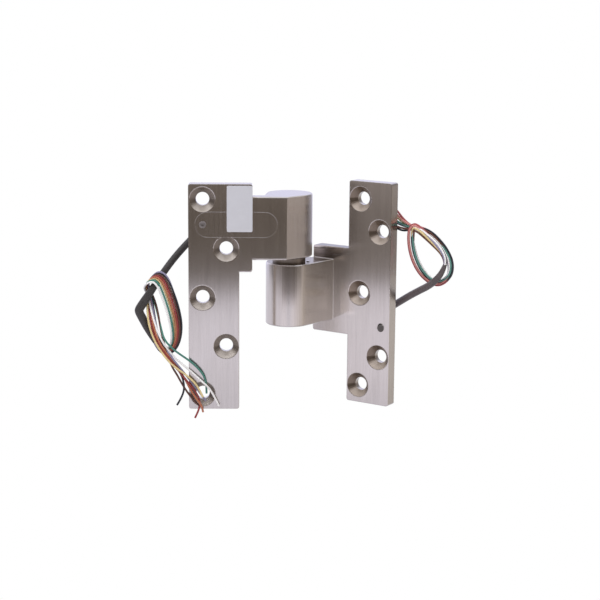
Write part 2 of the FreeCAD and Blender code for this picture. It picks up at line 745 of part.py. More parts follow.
def tube(points, width, radii=None):
    """A plain round tube along straight runs joined by tangent arcs."""
    points = [Vector(*point) for point in points]
    radii = radii or bend_radii(points)
    edges = []
    start = points[0]
    for radius, before, here, after in zip(radii, points, points[1:], points[2:]):
        come, go = (here - before).normalize(), (after - here).normalize()
        turn = come.getAngle(go)
        setback = radius * math.tan(turn / 2)
        first, last = here - come * setback, here + go * setback
        inward = (go - come).normalize()
        middle = here + inward * (radius / math.cos(turn / 2) - radius)
        edges.append(Part.LineSegment(start, first).toShape())
        edges.append(Part.Arc(first, middle, last).toShape())
        start = last
    edges.append(Part.LineSegment(start, points[-1]).toShape())
    path = Part.Wire(edges)
    ring = Part.Wire(Part.Circle(points[0], points[1] - points[0], width / 2).toShape())
    solid = path.makePipeShell([ring], True, False)
    expected = math.pi * width**2 / 4 * path.Length
    if not solid.isValid() or abs(solid.Volume - expected) > 0.01 * expected:
        raise RuntimeError(f"tube volume {solid.Volume:.2f} against {expected:.2f}")
    return solid, radii, path.Length


def cord_node(label, side, points, width, radii=None):
    """A cord or wire as a solid of its own, its bends and length printed."""
    solid, bends, length = tube(points, width, radii)
    item = doc.addObject("Part::Feature", label.title().replace("_", ""))
    item.Shape = solid
    print(f"{label}: length {length:.1f} mm, bend radii", [round(bend, 1) for bend in bends])
    return node(label, item, side)


# Routes in pivot coordinates (out along the leaf, across it, up), chosen by hand
DOOR_SLEEVE = [
    (door_exit.value, 12, 37.9), (door_exit.value, 6.5, 37.9), (39, 2.5, 36.6), (44, 1.5, 33.8),
    (49, 2.5, 30), (54, 4.5, 25), (59, 6.5, 19.5), (63.5, 9, 13.8), (67.8, 10.6, 7.6),
    (71.8, 11, 1.6), (76, 11, -3), (78.8, 11, -7), (76.2, 11, -12.8), (72.7, 11.4, -19),
    (69.4, 11.8, -24.5),
]
DOOR_HANK = [
    (69.4, 11.8, -24.5), (67.8, 12, -27.2), (64.6, 12.4, -29.6), (60.8, 12.8, -28.2), (58.4, 13.2, -23),
    (58, 13.6, -14.6), (59.8, 14.2, -5.6), (62.8, 14.8, 2.4), (66.4, 15.2, 7.8), (71, 14.4, 9.6),
    (74.8, 10.8, 7.6), (74.8, 7.4, 4.2), (72.8, 6.8, 1.4),
]
DOOR_BUNDLE = [
    (72.4, 6.8, 0.9), (71.4, 8, -3.2), (70.4, 12, -8.6), (69.2, 15, -15), (66.8, 16.6, -23),
    (62.6, 17.9, -31),
]
# Each wire: how far it lies across and in front of the bundle's middle, then its own last points
DOOR_WIRES = {
    "black": ((2.1, -0.8), [(61, 17.2, -40.5), (59.2, 17.2, -48.5), (58.3, 17.2, -56.4)]),
    "brown": (
        (2.1, 0.8),
        [(58.8, 18.6, -39.8), (54, 18.6, -47.8), (50.4, 18.6, -55.2), (49.5, 18.4, -63.2)],
    ),
    "red": (
        (0.7, -0.8),
        [(57.6, 17.2, -38.6), (53, 17.2, -45.5), (49.2, 17.2, -51.5), (46.4, 17.2, -57.4)],
    ),
    "orange": (
        (0.7, 0.8),
        [(56.6, 18.6, -38.6), (51.2, 18.6, -46.2), (46.8, 18.6, -53.4), (44.6, 18.4, -60.2)],
    ),
    "yellow": (
        (-0.7, -0.8),
        [(56, 17.2, -36.9), (51.2, 17.2, -42.2), (47.2, 17.2, -47.6), (43.9, 17.2, -53.4)],
    ),
    "violet": (
        (-0.7, 0.8),
        [(54.6, 18.6, -37), (49, 18.6, -43.6), (44.6, 18.6, -49.8), (41.6, 18.5, -55.4)],
    ),
    "green": (
        (-2.1, -0.8),
        [(55.2, 17.2, -33.2), (48.4, 17.2, -37), (43.6, 17.2, -42.6), (41.8, 17.2, -49.8)],
    ),
    "white": (
        (-2.1, 0.8),
        [(53.4, 18.6, -34.6), (46.8, 18.6, -41), (41, 18.6, -48.4), (36.5, 18.5, -56.4)],
    ),
}
JAMB_SLEEVE = [
    (jamb_exit.value, 23.4, -15), (jamb_exit.value, 28.4, -15), (36.4, 32, -13.6), (40.4, 33, -10.6),
    (44.6, 32.6, -7.2), (49.4, 31.8, -4.2), (55, 31, -0.6), (61, 30.6, 2.9), (66.6, 30.2, 6),
    (71.4, 29.6, 9.9), (75, 29, 14.4), (76.6, 28.6, 18.4),
]
JAMB_HANK = [
    (76.6, 28.6, 18.4), (77.7, 28.3, 21.2), (74.4, 26.9, 26), (68.4, 25.8, 31), (61.8, 25.6, 35.2),
    (57, 26, 33), (56, 27.6, 26.8), (57.2, 30, 19.6), (59.8, 32.8, 12.4), (64.4, 34.6, 6.6),
    (71.2, 34, 5.6),
    (77.6, 32, 9), (82.2, 30.8, 14.6), (82.2, 30.4, 21), (78, 30.2, 26.6), (72.4, 30.2, 31.2),
]
JAMB_BUNDLE = [(72.1, 30.2, 31.5), (66.2, 30.2, 35.2), (60.8, 30.2, 36.6)]
JAMB_WIRES = {
    "black": ((2.1, 0.8), [(55.4, 29.4, 34.2), (50, 28.8, 36.4), (44.8, 28.4, 37.4)]),
    "brown": ((0.7, 0.8), [(55.4, 29.4, 36), (50, 28.8, 39), (45, 28.4, 41)]),
    "red": ((-0.7, 0.8), [(55.4, 29.4, 37.8), (50.2, 28.8, 41.8), (45.6, 28.4, 45)]),
    "orange": ((-2.1, 0.8), [(55.6, 29.4, 39.6), (50.6, 28.8, 44.6), (46.2, 28.4, 49)]),
    "yellow": ((2.1, -0.8), [(55.4, 30.8, 34.6), (50, 30.7, 36.4), (44.8, 30.6, 37)]),
    "violet": ((0.7, -0.8), [(55.4, 30.8, 36.4), (50, 30.7, 39.4), (45, 30.6, 41.4)]),
    "green": ((-0.7, -0.8), [(55.4, 30.8, 38.2), (50.2, 30.7, 42.4), (45.6, 30.6, 45.8)]),
    "white": ((-2.1, -0.8), [(55.6, 30.8, 40), (50.6, 30.7, 45.2), (46.4, 30.6, 49.8)]),
}


def beside(points, across, in_front, front):
    """A bundle's route moved sideways in the leaf's own plane and towards its front."""
    moved = []
    for i, (x, y, z) in enumerate(points):
        ahead = points[min(i + 1, len(points) - 1)]
        behind = points[max(i - 1, 0)]
        along_x, along_z = ahead[0] - behind[0], ahead[2] - behind[2]
        length = math.hypot(along_x, along_z)
        moved.append((x - across * along_z / length, y + front * in_front, z + across * along_x / length))
    return moved


def make_harness(side, sleeve, hank, bundle, wires, front):
    """The black sleeve, the wound part of the wires and the eight loose wire ends of one leaf."""
    cord_node(f"{side}_sleeve", side, sleeve, named("sleeve_width").value)
    cord_node(f"{side}_wire_hank", side, hank, named("hank_width").value)
    for colour, ((across, in_front), ends) in wires.items():
        route = beside(bundle, across, in_front, front) + ends
        cord_node(f"{side}_wire_{colour}", side, route, named("wire_width").value)


def core_route(near, way_rise, deep, exit_at, meet):
    """From the pin's middle up or down to a drilled way, out along it and along the groove."""
    bend_x = (near + named("ledge") + named("way_inset")).value
    end_x = (exit_at - sleeve_radius - named("core_end")).value
    return [(0, 0, meet), (0, 0, way_rise), (bend_x, deep.value, way_rise), (end_x, deep.value, way_rise)]


def make_cores():
    """The wires inside: up or down the hollow pin, and along each leaf's groove."""
    width = named("core_width").value
    bends = [width, width * named("core_bend").value]
    middle, half_gap = named("core_meet").value, named("core_apart").value / 2
    route = core_route(
        named("door_cover_near"), named("door_cover_rise").value, door_groove_middle, door_exit,
        middle + half_gap,
    )
    cord_node("door_wire_core", "door", route, width, bends)
    route = core_route(
        named("jamb_cover_near"), -named("chamber_way").value, jamb_groove_middle, jamb_exit,
        middle - half_gap,
    )
    cord_node("jamb_wire_core", "jamb", route, width, bends)


make_jamb_leaf()
make_door_leaf()
make_turned_pieces()
make_stop_pin()
make_cover(
    "door_channel_cover", "door", named("door_cover_near"), door_cover_far, named("door_cover_rise"),
    named("door_cover_width"), door_front, door_screw_at, named("door_cover_rise"), None,
)
make_cover(
    "jamb_channel_cover", "jamb", named("jamb_cover_near"), jamb_cover_far, -named("jamb_cover_drop"),
    named("jamb_cover_width"), jamb_back, jamb_screw_at, -named("jamb_screw_drop"), jamb_exit,
)
make_cover_screw(
    "door_cover_screw", "door", door_screw_at, named("door_cover_rise"), door_front,
    named("cover_screw_length"),
)
make_cover_screw(
    "jamb_cover_screw", "jamb", jamb_screw_at, -named("jamb_screw_drop"), jamb_front, thick,
)
make_grommet("door_grommet", "door", door_exit, named("door_cover_rise"), door_back)
make_grommet("jamb_grommet", "jamb", jamb_exit, -named("jamb_cover_drop"), jamb_back)
make_cores()
make_harness("door", DOOR_SLEEVE, DOOR_HANK, DOOR_BUNDLE, DOOR_WIRES, 1)
make_harness("jamb", JAMB_SLEEVE, JAMB_HANK, JAMB_BUNDLE, JAMB_WIRES, -1)
doc.recompute()

# Every object and every finished shape is checked before anything is written
for item in doc.Objects:
    if "Invalid" in item.State or "Error" in item.State:
        raise RuntimeError(f"{item.Label} failed: {item.State}")
for item in nodes:
    shape = item.Shape
    if shape.isNull() or not shape.isValid() or not shape.Solids:
        raise RuntimeError(f"{item.Label} has no valid shape")

os.makedirs("parts", exist_ok=True)
for item in nodes:
    item.Shape.exportStep(f"parts/{item.Label}.step")
    print(f"{item.Label}: {len(item.Shape.Solids)} solid, {item.Shape.Volume:.1f} mm3")
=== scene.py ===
"""Looks of the pivot hinge: camera, studio, brushed steel, blank label and the two wire harnesses."""
import math

import bmesh
import bpy
from mathutils import Matrix, Vector


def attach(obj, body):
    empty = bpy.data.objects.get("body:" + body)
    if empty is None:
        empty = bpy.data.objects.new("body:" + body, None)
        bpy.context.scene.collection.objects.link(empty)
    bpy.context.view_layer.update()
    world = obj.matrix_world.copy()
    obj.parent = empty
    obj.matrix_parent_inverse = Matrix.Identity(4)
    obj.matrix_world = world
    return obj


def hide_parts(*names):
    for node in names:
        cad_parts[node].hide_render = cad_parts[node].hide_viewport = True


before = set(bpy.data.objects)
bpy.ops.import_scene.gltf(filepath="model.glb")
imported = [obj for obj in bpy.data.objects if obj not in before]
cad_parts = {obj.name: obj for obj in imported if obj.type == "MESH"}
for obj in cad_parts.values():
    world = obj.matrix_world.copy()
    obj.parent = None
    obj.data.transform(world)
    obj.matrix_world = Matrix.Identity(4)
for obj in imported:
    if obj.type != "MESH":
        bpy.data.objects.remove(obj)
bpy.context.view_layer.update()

MM = 0.001

# Places of the two leaves: millimetres out from the pivot, across and up, to the frame in metres
REST_ANGLE = math.radians(214.5)
PIVOT = Vector((-0.0312, -0.02595, 0.0))
LEAF_TURN = {"frame_side": 0.0, "door_side": REST_ANGLE}
BODY = {"door": "door_side", "jamb": "frame_side"}
# Towards the viewer is up the door leaf's own across line, and down the frame leaf's
FRONT = {"door": 1.0, "jamb": -1.0}
PLATE_FRONT = {"door": 16.4, "jamb": 19.6}
PLATE_START = 17.0


def turned(body, way):
    """A leaf's own way, in the frame."""
    return Matrix.Rotation(LEAF_TURN[body], 3, "Z") @ Vector(way)


def place(body, point):
    """A leaf's own point, in millimetres, in the frame, in metres."""
    return PIVOT + turned(body, Vector(point) * MM)


# Camera
CAMERA_AT = (0.42405, -0.71679, 0.16088)
CAMERA_TURN = math.radians(32.973)
CAMERA_DOWN = math.radians(11.283)
CAMERA_ROLL = math.radians(0.494)
LENS = 96.566
SENSOR = 36.0
CLIP = (0.01, 50.0)


def make_camera():
    """The camera at the photograph's place and angle."""
    data = bpy.data.cameras.new("camera")
    data.lens = LENS
    data.sensor_width = SENSOR
    data.clip_start, data.clip_end = CLIP
    camera = bpy.data.objects.new("camera", data)
    bpy.context.scene.collection.objects.link(camera)
    upright = Matrix.Rotation(math.pi / 2 - CAMERA_DOWN, 4, "X")
    aim = Matrix.Rotation(CAMERA_TURN, 4, "Z") @ upright @ Matrix.Rotation(CAMERA_ROLL, 4, "Z")
    camera.matrix_world = Matrix.Translation(CAMERA_AT) @ aim
    bpy.context.scene.camera = camera


# Node material helpers
def new_material(name):
    """An empty node material with its tree, shader and output."""
    material = bpy.data.materials.new(name)
    material.use_nodes = True
    tree = material.node_tree
    tree.nodes.clear()
    output = tree.nodes.new("ShaderNodeOutputMaterial")
    shader = tree.nodes.new("ShaderNodeBsdfPrincipled")
    tree.links.new(shader.outputs["BSDF"], output.inputs["Surface"])
    return material, tree, shader


def made(tree, kind, **values):
    """A new node with its settings and socket values."""
    item = tree.nodes.new(kind)
    for key, value in values.items():
        if hasattr(item, key):
            setattr(item, key, value)
        else:
            item.inputs[key.replace("_", " ")].default_value = value
    return item


def arithmetic(tree, kind, first, second):
    """A Math node on two sockets or numbers; gives its result socket."""
    item = tree.nodes.new("ShaderNodeMath")
    item.operation = kind
    for socket, value in zip(item.inputs, (first, second)):
        if isinstance(value, (int, float)):
            socket.default_value = value
        else:
            tree.links.new(value, socket)
    return item.outputs[0]


def vector_math(tree, kind, first, second):
    """A Vector Math node on two sockets or vectors; gives its vector result."""
    item = tree.nodes.new("ShaderNodeVectorMath")
    item.operation = kind
    for socket, value in zip(item.inputs, (first, second)):
        if isinstance(value, tuple):
            socket.default_value = value
        else:
            tree.links.new(value, socket)
    return item.outputs["Vector"]


def along_way(tree, socket, way):
    """How far a vector socket goes along a fixed way."""
    item = tree.nodes.new("ShaderNodeVectorMath")
    item.operation = "DOT_PRODUCT"
    tree.links.new(socket, item.inputs[0])
    item.inputs[1].default_value = way
    return item.outputs["Value"]


def product(tree, first, *others):
    """Several sockets or numbers multiplied, a socket first."""
    for value in others:
        first = arithmetic(tree, "MULTIPLY", first, value)
    return first


def blended(tree, first, share, second):
    """Two sockets added, the first by its share and the second by the rest."""
    return arithmetic(tree, "ADD", product(tree, first, share), product(tree, second, 1.0 - share))


def ramp(tree, factor, stops):
    """A colour ramp on a socket, from (place, colour) stops; gives its colour socket."""
    item = tree.nodes.new("ShaderNodeValToRGB")
    elements = item.color_ramp.elements
    while len(elements) < len(stops):
        elements.new(0.5)
    for element, (at, colour) in zip(elements, stops):
        element.position = at
        element.color = (*colour, 1.0)
    tree.links.new(factor, item.inputs["Fac"])
    return item.outputs["Color"]


def uneven(tree, factor, base, less, more, middle):
    """A base colour made a share less and a share more, on both sides of the middle of a socket."""
    low = tuple(c * (1.0 - less) for c in base)
    high = tuple(min(1.0, c * (1.0 + more)) for c in base)
    return ramp(tree, factor, [(0.5 - middle, low), (0.5 + middle, high)])


EVEN = (1.0, 1.0, 1.0)


def noise(tree, scale, stretch, detail, roughness):
    """Object-space noise, stretched along each axis; gives its factor socket."""
    coordinates = tree.nodes.new("ShaderNodeTexCoord")
    stretched = vector_math(tree, "MULTIPLY", coordinates.outputs["Object"], stretch)
    item = made(tree, "ShaderNodeTexNoise", Scale=scale, Detail=detail, Roughness=roughness)
    tree.links.new(stretched, item.inputs["Vector"])
    return item.outputs["Fac"]


def spread(tree, value, low, high):
    """A socket's 0 to 1, taken to a low and a high value."""
    item = made(tree, "ShaderNodeMapRange")
    tree.links.new(value, item.inputs["Value"])
    item.inputs["To Min"].default_value = low
    item.inputs["To Max"].default_value = high
    return item.outputs["Result"]


def smooth(tree, value, low, high):
    """Rises smoothly from 0 at one number to 1 at another."""
    item = made(tree, "ShaderNodeMapRange", interpolation_type="SMOOTHSTEP")
    tree.links.new(value, item.inputs["Value"])
    item.inputs["From Min"].default_value = low
    item.inputs["From Max"].default_value = high
    return item.outputs["Result"]


def between(tree, value, low, high):
    """1 where a socket lies between two numbers, else 0."""
    above = arithmetic(tree, "GREATER_THAN", value, low)
    below = arithmetic(tree, "LESS_THAN", value, high)
    return product(tree, above, below)


def facing(tree, way):
    """How far a face looks along a fixed way: 1 straight along it, 0 square to it."""
    geometry = tree.nodes.new("ShaderNodeNewGeometry")
    return along_way(tree, geometry.outputs["True Normal"], way)


def lying(tree, way):
    """How far a point of the part lies along a fixed way, in metres."""
    coordinates = tree.nodes.new("ShaderNodeTexCoord")
    return along_way(tree, coordinates.outputs["Object"], way)


def tinted(tree, colour, mask, tone):
    """A colour socket, multiplied by a tone where the mask is 1."""
    mix = made(tree, "ShaderNodeMix", data_type="RGBA", blend_type="MULTIPLY")
    tree.links.new(mask, mix.inputs[0])
    tree.links.new(colour, mix.inputs[6])
    mix.inputs[7].default_value = (*tone, 1.0)
    return mix.outputs[2]


def add_bump(tree, shader, height, strength, distance, normal=None):
    """Fine relief from a height socket, on the faces' own normals or on those given."""
    bump = made(tree, "ShaderNodeBump")
    bump.inputs["Strength"].default_value = strength
    bump.inputs["Distance"].default_value = distance
    tree.links.new(height, bump.inputs["Height"])
    if normal:
        tree.links.new(normal, bump.inputs["Normal"])
    tree.links.new(bump.outputs["Normal"], shader.inputs["Normal"])


# Ways in the frame: up, and out along the frame leaf
UP = (0.0, 0.0, 1.0)
OUT = (1.0, 0.0, 0.0)

# Brushed steel; each noise has its scale, stretch, detail and roughness
STEEL = (0.63, 0.60, 0.58)
BRUSH = (1.0, 1.0, 0.03)
FINE_LINES = (2600.0, BRUSH, 4.0, 0.6)
BROAD_LINES = (700.0, BRUSH, 3.0, 0.55)
FINE_SHARE = 0.55
CLOUDS = (60.0, (1.0, 1.0, 0.7), 5.0, 0.65)
CLOUD_STOPS = [(0.30, (0.93, 0.925, 0.915)), (0.70, (1.0, 1.0, 1.0))]
STREAK = 0.075
STREAK_MIDDLE = 0.18
STEEL_ROUGH = (0.88, 1.15)
STEEL_RELIEF = (0.05, 0.0001)
BEVEL_SAMPLES = 6
# Keeps the brush lines' tangent from being nothing on level faces
NUDGE = (0.001, 0.0, 0.0)
# Countersinks: slope and depth of their cones, and how they differ from the plate; their darker, browner
# tone and their darker upper walls are painted shade
SINK_SLOPE = (0.5, 0.85)
SINK_DEEPEST = 0.0063
SINK_FIRST = 0.00002
SINK_PAINTED_SHADE = {"door": (0.92, 0.88, 0.83), "jamb": (0.80, 0.72, 0.64)}
SINK_RISING = (0.20, 0.60)
SINK_SHADE = (0.54, 0.52, 0.50)
SINK_ROUGH = 0.16
SINK_DULL = 0.16
SINK_LIGHT = 0.50
# Painted shade on the tops of the frame leaf's tee and knuckle
TOP_FACING = 0.85
TOP_REACH = 0.0006
TEE_TOP = 0.023
TEE_TOP_SHADE = (0.30, 0.29, 0.28)
KNUCKLE_TOP = 0.0163
KNUCKLE_TOP_SHADE = (0.40, 0.365, 0.32)
# Painted light: a lighter front of the tee, above the knuckle and beside it, by height and by distance
# from the pivot
TEE_FACE = (0.0, -1.0, 0.0)
TEE_FACING = 0.5
ABOVE_HEIGHT = (0.0150, 0.0175)
ABOVE_END = (0.025, 0.019)
BESIDE_START = (0.0190, 0.0205)
BESIDE_END = (0.031, 0.024)
BESIDE_HIGH = (0.008, 0.000)
BESIDE_LOW = (-0.0135, -0.0105)
BESIDE_SHARE = 0.50
TEE_PAINTED_LIGHT = (1.50, 1.48, 1.46)
# Painted shade: a darker patch on the knuckle's barrel, under the washer; and the knuckle's rougher flat
# side, tinted warmer as a painted reflection
BARREL_SHADE_WAY = (0.559, -0.829, 0.0)
BARREL_SHADE_FACING = (0.925, 0.980)
BARREL_SHADE_HEIGHT = (-0.007, 0.004)
BARREL_SHADE_WIDTH = 0.0125
BARREL_SHADE_TONE = (0.62, 0.60, 0.585)
SIDE_WAY = (0.988, -0.153, 0.0)
SIDE_FACING = (0.965, 0.998)
SIDE_REFLECTION_TINT = (1.0, 0.985, 0.935)
SIDE_ROUGH = 0.085
# Door leaf: its knuckle's rougher round, and finer edges by the wire channel's cover
ROUND_FACING = (0.80, 0.96)
ROUND_ROUGH = 0.075
COVER_HEIGHTS = (0.0305, 0.0453)
COVER_EDGE = 0.22


def plate_places(side):
    """A plate's front way, its front's place, its way along and where it starts along, in metres."""
    body = BODY[side]
    face = turned(body, (0.0, FRONT[side], 0.0))
    along = turned(body, OUT)
    depth = place(body, (0.0, PLATE_FRONT[side], 0.0)).dot(face)
    start = place(body, (PLATE_START, 0.0, 0.0)).dot(along)
    return tuple(face), depth, tuple(along), start


def sink_mask(tree, side):
    """1 on the countersinks of a leaf's plate."""
    face, depth, along, start = plate_places(side)
    slope = between(tree, facing(tree, face), *SINK_SLOPE)
    inside = between(tree, lying(tree, face), depth - SINK_DEEPEST, depth - SINK_FIRST)
    plate = arithmetic(tree, "GREATER_THAN", lying(tree, along), start)
    return product(tree, slope, inside, plate)


def top_mask(tree, height):
    """1 on upward faces at one height."""
    upward = arithmetic(tree, "GREATER_THAN", facing(tree, UP), TOP_FACING)
    level = between(tree, lying(tree, UP), height - TOP_REACH, height + TOP_REACH)
    return product(tree, upward, level)


def barrel_shade_mask(tree):
    """1 on the painted shade, a darker patch on the front of the frame leaf's knuckle, under the washer.
    """
    band = smooth(tree, facing(tree, BARREL_SHADE_WAY), *BARREL_SHADE_FACING)
    level = smooth(tree, lying(tree, UP), *BARREL_SHADE_HEIGHT)
    knuckle = arithmetic(tree, "LESS_THAN", lying(tree, OUT), PIVOT.x + BARREL_SHADE_WIDTH)
    return product(tree, band, level, knuckle)


def tee_painted_light_mask(tree):
    """1 where light is painted on the front of the frame leaf's tee above its knuckle, and a share of 1
    beside the knuckle.
    """
    front = arithmetic(tree, "GREATER_THAN", facing(tree, TEE_FACE), TEE_FACING)
    out = arithmetic(tree, "SUBTRACT", lying(tree, OUT), PIVOT.x)
    height = lying(tree, UP)
    above = product(tree, smooth(tree, height, *ABOVE_HEIGHT), smooth(tree, out, *ABOVE_END))
    beside = product(tree, smooth(tree, out, *BESIDE_START), smooth(tree, out, *BESIDE_END))
    level = product(tree, smooth(tree, height, *BESIDE_HIGH), smooth(tree, height, *BESIDE_LOW))
    patches = arithmetic(tree, "ADD", above, product(tree, beside, level, BESIDE_SHARE))
    return product(tree, front, patches)


def frame_leaf_painted_shading(tree, colour, roughness):
    """The frame leaf's painted shade on its tops and barrel, painted light on its tee, and its rougher
    flat side with a warm painted reflection.
    """
    # Painted shade on the tops of the tee and the knuckle
    colour = tinted(tree, colour, top_mask(tree, TEE_TOP), TEE_TOP_SHADE)
    colour = tinted(tree, colour, top_mask(tree, KNUCKLE_TOP), KNUCKLE_TOP_SHADE)
    # Painted shade on the knuckle's barrel, under the washer
    colour = tinted(tree, colour, barrel_shade_mask(tree), BARREL_SHADE_TONE)
    # Painted light on the front of the tee
    colour = tinted(tree, colour, tee_painted_light_mask(tree), TEE_PAINTED_LIGHT)
    # The knuckle's flat side: rougher, and tinted warmer as a painted reflection
    side = smooth(tree, facing(tree, SIDE_WAY), *SIDE_FACING)
    colour = tinted(tree, colour, side, SIDE_REFLECTION_TINT)
    return colour, arithmetic(tree, "ADD", roughness, product(tree, side, SIDE_ROUGH))


def countersunk(tree, side, colour, roughness):
    """Countersinks rougher and duller than the plate, with painted shade: darker and browner all over,
    darkest on their upper walls.
    """
    cone = sink_mask(tree, side)
    rising = smooth(tree, facing(tree, UP), *SINK_RISING)
    upper = product(tree, cone, arithmetic(tree, "SUBTRACT", 1.0, rising))
    # Painted shade: each countersink darker and browner, its upper walls darker still
    colour = tinted(tree, colour, cone, SINK_PAINTED_SHADE[side])
    colour = tinted(tree, colour, upper, SINK_SHADE)
    roughness = arithmetic(tree, "ADD", roughness, product(tree, cone, SINK_ROUGH))
    dull = arithmetic(tree, "ADD", product(tree, rising, SINK_LIGHT), SINK_DULL)
    metallic = arithmetic(tree, "SUBTRACT", 1.0, product(tree, cone, dull))
    return colour, roughness, metallic


def level_tangent(tree):
    """The level way across each face, which the brush lines stand square to."""
    geometry = tree.nodes.new("ShaderNodeNewGeometry")
    level = vector_math(tree, "CROSS_PRODUCT", geometry.outputs["Normal"], UP)
    level = vector_math(tree, "ADD", level, NUDGE)
    return vector_math(tree, "NORMALIZE", level, (0.0, 0.0, 0.0))


def brushed_steel(name, base, rough, edge, side=None):
    """Satin steel with upright brush lines, cloudy stains and worn edges; side is the leaf it is for."""
    material, tree, shader = new_material(name)
    link = tree.links.new
    lines = blended(tree, noise(tree, *FINE_LINES), FINE_SHARE, noise(tree, *BROAD_LINES))
    mix = made(tree, "ShaderNodeMix", data_type="RGBA", blend_type="MULTIPLY")
    mix.inputs[0].default_value = 1.0
    link(uneven(tree, lines, base, STREAK, STREAK, STREAK_MIDDLE), mix.inputs[6])
    link(ramp(tree, noise(tree, *CLOUDS), CLOUD_STOPS), mix.inputs[7])
    colour = mix.outputs[2]
    roughness = spread(tree, lines, *(rough * share for share in STEEL_ROUGH))
    bevel = made(tree, "ShaderNodeBevel", samples=BEVEL_SAMPLES)
    bevel.inputs["Radius"].default_value = edge * MM
    shader.inputs["Metallic"].default_value = 1.0
    # The frame leaf's painted shade, painted light and painted reflection
    if side == "jamb":
        colour, roughness = frame_leaf_painted_shading(tree, colour, roughness)
    if side == "door":
        round_side = smooth(tree, facing(tree, OUT), *ROUND_FACING)
        roughness = arithmetic(tree, "ADD", roughness, product(tree, round_side, ROUND_ROUGH))
        cover = between(tree, lying(tree, UP), *COVER_HEIGHTS)
        finer = product(tree, cover, (edge - COVER_EDGE) * MM)
        link(arithmetic(tree, "SUBTRACT", edge * MM, finer), bevel.inputs["Radius"])
    # Painted shade in the countersinks, with their rougher, duller finish
    if side:
        colour, roughness, metallic = countersunk(tree, side, colour, roughness)
        link(metallic, shader.inputs["Metallic"])
    link(colour, shader.inputs["Base Color"])
    link(roughness, shader.inputs["Roughness"])
    shader.inputs["Anisotropic"].default_value = 1.0
    link(level_tangent(tree), shader.inputs["Tangent"])
    add_bump(tree, shader, lines, *STEEL_RELIEF, bevel.outputs["Normal"])
    return material


# Turned metal: its rings, its stains, and how uneven they make it
RINGS = (1800.0, (0.04, 0.04, 1.0), 3.0, 0.6)
RING_SHARE = 0.6
STAINS = (160.0, EVEN, 4.0, 0.6)
RING_UNEVEN = (0.18, 0.15, 0.15)
RING_ROUGH = (0.8, 1.2)
RING_RELIEF = (0.15, 0.0002)


def turned_metal(name, base, rough):
    """Lathe-turned metal with fine rings round the upright axis and small stains."""
    material, tree, shader = new_material(name)
    both = blended(tree, noise(tree, *RINGS), RING_SHARE, noise(tree, *STAINS))
    tree.links.new(uneven(tree, both, base, *RING_UNEVEN), shader.inputs["Base Color"])
    sheen = spread(tree, both, *(rough * share for share in RING_ROUGH))
    tree.links.new(sheen, shader.inputs["Roughness"])
    shader.inputs["Metallic"].default_value = 1.0
    add_bump(tree, shader, both, *RING_RELIEF)
    return material


# Soft plastic: its grain, its patches, and how uneven they make it
GRAIN = 900.0
GRAIN_KIND = (EVEN, 3.0, 0.6)
PATCHES = (140.0, EVEN, 3.0, 0.5)
GRAIN_SHARE = 0.35
GRAIN_MIDDLE = 0.17
GRAIN_ROUGH = (0.85, 1.2)
GRAIN_DEPTH = 0.0001


def soft_plastic(name, base, rough, vary=0.10, grain=GRAIN, relief=0.15):
    """Wire insulation, rubber, sleeve or label film: slightly uneven colour, sheen and surface."""
    material, tree, shader = new_material(name)
    grainy = noise(tree, grain, *GRAIN_KIND)
    both = blended(tree, grainy, GRAIN_SHARE, noise(tree, *PATCHES))
    tree.links.new(uneven(tree, both, base, vary, vary, GRAIN_MIDDLE), shader.inputs["Base Color"])
    sheen = spread(tree, grainy, *(min(1.0, rough * share) for share in GRAIN_ROUGH))
    tree.links.new(sheen, shader.inputs["Roughness"])
    add_bump(tree, shader, grainy, relief, GRAIN_DEPTH)
    return material


# Wires
WIRE_ROUGH = 0.38
WIRE_COLOURS = {
    "black": (0.020, 0.022, 0.030),
    "brown": (0.105, 0.046, 0.034),
    "red": (0.300, 0.050, 0.050),
    "orange": (0.460, 0.165, 0.088),
    "yellow": (0.740, 0.600, 0.300),
    "violet": (0.270, 0.250, 0.370),
    "green": (0.070, 0.230, 0.185),
    "white": (0.940, 0.940, 0.925),
}
# The frame leaf's wires whose colour is paler there
PALER = {
    "red": (0.380, 0.082, 0.092), "orange": (0.600, 0.245, 0.215),
    "brown": (0.150, 0.060, 0.040), "green": (0.110, 0.290, 0.240),
}


def insulation(prefix, colours):
    """One finish for each wire colour."""
    return {
        colour: soft_plastic(f"{prefix}_{colour}", base, WIRE_ROUGH) for colour, base in colours.items()
    }


def dress(material, *nodes):
    """Gives CAD nodes their material."""
    for node in nodes:
        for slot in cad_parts[node].material_slots:
            slot.material = material


# Wire harness routes, in millimetres on each leaf: out from the pivot, across and up
SLEEVE_WIDTH = 3.7
WIRE_WIDTH = 1.05
SLEEVES = {
    "door": [
        (36, 12, 37.9), (36, 6.5, 37.9), (39, 2.5, 36.6), (44, 1.5, 33.8), (49, 2.5, 30),
        (54, 4.5, 25), (59, 6.5, 19.5), (63.5, 9, 13.8), (67.8, 10.6, 7.6), (71.8, 11, 1.6),
        (75, 11, -3.4), (77.4, 11, -7), (77.6, 11, -8.4), (75.2, 11, -13), (72.4, 11.4, -19),
        (69.4, 11.8, -24.5),
    ],
    "jamb": [
        (34, 23.4, -15), (34, 28.4, -15), (36.4, 32, -13.6), (40.4, 33, -10.6), (44.6, 32.6, -7.2),
        (49.4, 31.8, -4.2), (55, 31, -0.6), (61, 30.6, 2.9), (66.6, 30.2, 6), (71.4, 29.6, 9.9),
        (75, 29, 14.4), (76.6, 28.6, 18.4),
    ],
}
